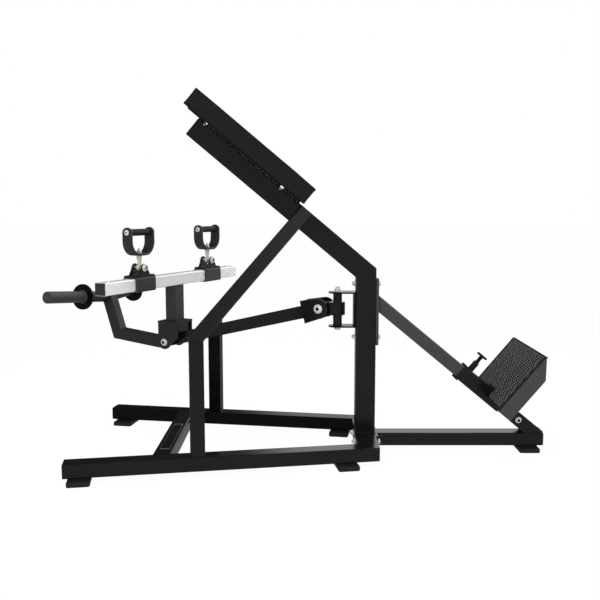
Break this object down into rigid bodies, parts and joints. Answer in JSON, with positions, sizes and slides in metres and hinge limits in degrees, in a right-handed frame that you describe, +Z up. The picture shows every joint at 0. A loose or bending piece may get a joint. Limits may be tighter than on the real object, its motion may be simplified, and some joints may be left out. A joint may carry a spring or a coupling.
{
  "type": "lever row machine",
  "caption": "Free-standing chest-supported row machine with a swinging lever, sliding swivel handles, weight horns and an adjustable sloping footplate.",
  "frame": {"origin": "centre of the machine's box on the floor, with the lever in its rest pose swung to the far side", "axes": "+X from the weight horns to the tail beam along the machine, +Y to the far side, +Z up"},
  "size_m": [2.0154, 1.2868, 1.3852],
  "materials": {
    "black_paint": "gloss black powder coat",
    "grey_paint": "satin dark grey powder coat",
    "plastic": "moulded black plastic",
    "rubber": "black rubber",
    "vinyl": "grained black vinyl over foam",
    "plywood": "raw plywood",
    "steel": "bright plated steel",
    "polished": "polished steel",
    "zinc": "yellow zinc plated steel",
    "bronze": "plain bearing bronze"
  },
  "bodies": {
    "frame": {"rail_near": "black_paint", "rail_far": "black_paint", "rail_cap_near": "plastic", "rail_cap_far": "plastic", "front_crossmember": "black_paint", "bare_plate": "black_paint", "rear_crossmember": "black_paint", "tail_beam": "black_paint", "tail_cap": "plastic", "tail_bolt_near": "steel", "tail_bolt_far": "steel", "foot_front_near": "rubber", "foot_front_far": "rubber", "foot_rear_near": "rubber", "foot_rear_far": "rubber", "foot_tail": "rubber", "upright": "black_paint", "backbone": "black_paint", "backbone_cap": "plastic", "strut_near": "black_paint", "strut_far": "black_paint", "pad_strip_upper": "black_paint", "pad_strip_lower": "black_paint", "pad_board": "plywood", "chest_pad": "vinyl", "pivot_bracket": "black_paint", "pivot_pin": "steel", "tail_diagonal": "grey_paint", "tail_socket": "black_paint", "diagonal_bolt_upper": "steel", "diagonal_bolt_lower": "steel", "socket_bolt": "steel"},
    "bushing": {"pivot_bushing": "bronze"},
    "hub": {"pivot_hub": "black_paint"},
    "lever": {"lift_bolt": "steel", "lever_arm": "black_paint", "gooseneck": "black_paint", "weight_horn_near": "black_paint", "weight_horn_far": "black_paint", "post_saddle": "black_paint", "saddle_bolt": "steel", "handle_post": "black_paint", "handle_bar": "polished", "bar_cap_near": "plastic", "bar_cap_far": "plastic"},
    "near_carriage": {"carriage_near": "black_paint", "lug_bracket_near": "black_paint", "clevis_bolt_near": "steel"},
    "far_carriage": {"carriage_far": "black_paint", "lug_bracket_far": "black_paint", "clevis_bolt_far": "steel"},
    "near_eye": {"swivel_eye_near": "zinc"},
    "far_eye": {"swivel_eye_far": "zinc"},
    "near_handle": {"handle_strap_near": "grey_paint"},
    "far_handle": {"handle_strap_far": "grey_paint"},
    "near_grip": {"grip_near": "rubber"},
    "far_grip": {"grip_far": "rubber"},
    "footplate": {"footplate_slider": "grey_paint", "foot_platform": "grey_paint"},
    "pull_pin": {"pull_pin": "steel"}
  },
  "joints": [
    {"name": "lever_swing", "type": "hinge", "parent": "frame", "child": "bushing", "pos_m": [0.19366, -0.19901, 0.564], "axis": [0, 0, 1], "range_deg": [0, 35]},
    {"name": "strut_guide", "type": "hinge", "parent": "bushing", "child": "hub", "pos_m": [0.19366, -0.19901, 0.564], "axis": [0, 0, 1], "range_deg": [0, 7]},
    {"name": "lever_lift", "type": "hinge", "parent": "hub", "child": "lever", "pos_m": [0.13436, -0.17072, 0.5633], "axis": [0.4305, 0.9026, 0], "range_deg": [0, 28]},
    {"name": "near_carriage_slide", "type": "slide", "parent": "lever", "child": "near_carriage", "axis": [0.4305, 0.9026, 0], "range_m": [-0.1, 0.08]},
    {"name": "far_carriage_slide", "type": "slide", "parent": "lever", "child": "far_carriage", "axis": [0.4305, 0.9026, 0], "range_m": [-0.08, 0.1]},
    {"name": "near_handle_tilt", "type": "hinge", "parent": "near_carriage", "child": "near_eye", "pos_m": [-0.6001, -0.08852, 0.71698], "axis": [-0.9026, 0.4305, 0], "range_deg": [-50, 50]},
    {"name": "far_handle_tilt", "type": "hinge", "parent": "far_carriage", "child": "far_eye", "pos_m": [-0.3814, 0.36999, 0.71698], "axis": [-0.9026, 0.4305, 0], "range_deg": [-50, 50]},
    {"name": "near_handle_swivel", "type": "hinge", "parent": "near_eye", "child": "near_handle", "pos_m": [-0.6001, -0.08852, 0.76498], "axis": [0, 0, 1], "continuous": true},
    {"name": "far_handle_swivel", "type": "hinge", "parent": "far_eye", "child": "far_handle", "pos_m": [-0.3814, 0.36999, 0.76498], "axis": [0, 0, 1], "continuous": true},
    {"name": "near_grip_spin", "type": "hinge", "parent": "near_handle", "child": "near_grip", "pos_m": [-0.6001, -0.08852, 0.85798], "axis": [0.4305, 0.9026, 0], "continuous": true},
    {"name": "far_grip_spin", "type": "hinge", "parent": "far_handle", "child": "far_grip", "pos_m": [-0.3814, 0.36999, 0.85798], "axis": [0.4305, 0.9026, 0], "continuous": true},
    {"name": "footplate_slide", "type": "slide", "parent": "frame", "child": "footplate", "axis": [-0.77, 0, 0.6381], "range_m": [0, 0.25]},
    {"name": "pull_pin_pull", "type": "slide", "parent": "footplate", "child": "pull_pin", "axis": [0.6381, 0, 0.77], "range_m": [0, 0.012], "stiffness_N_per_m": 600, "springref_m": -0.01}
  ],
  "couplings": [
    {"joint": "strut_guide", "follows": "lever_lift", "ratio": 0.25}
  ]
}
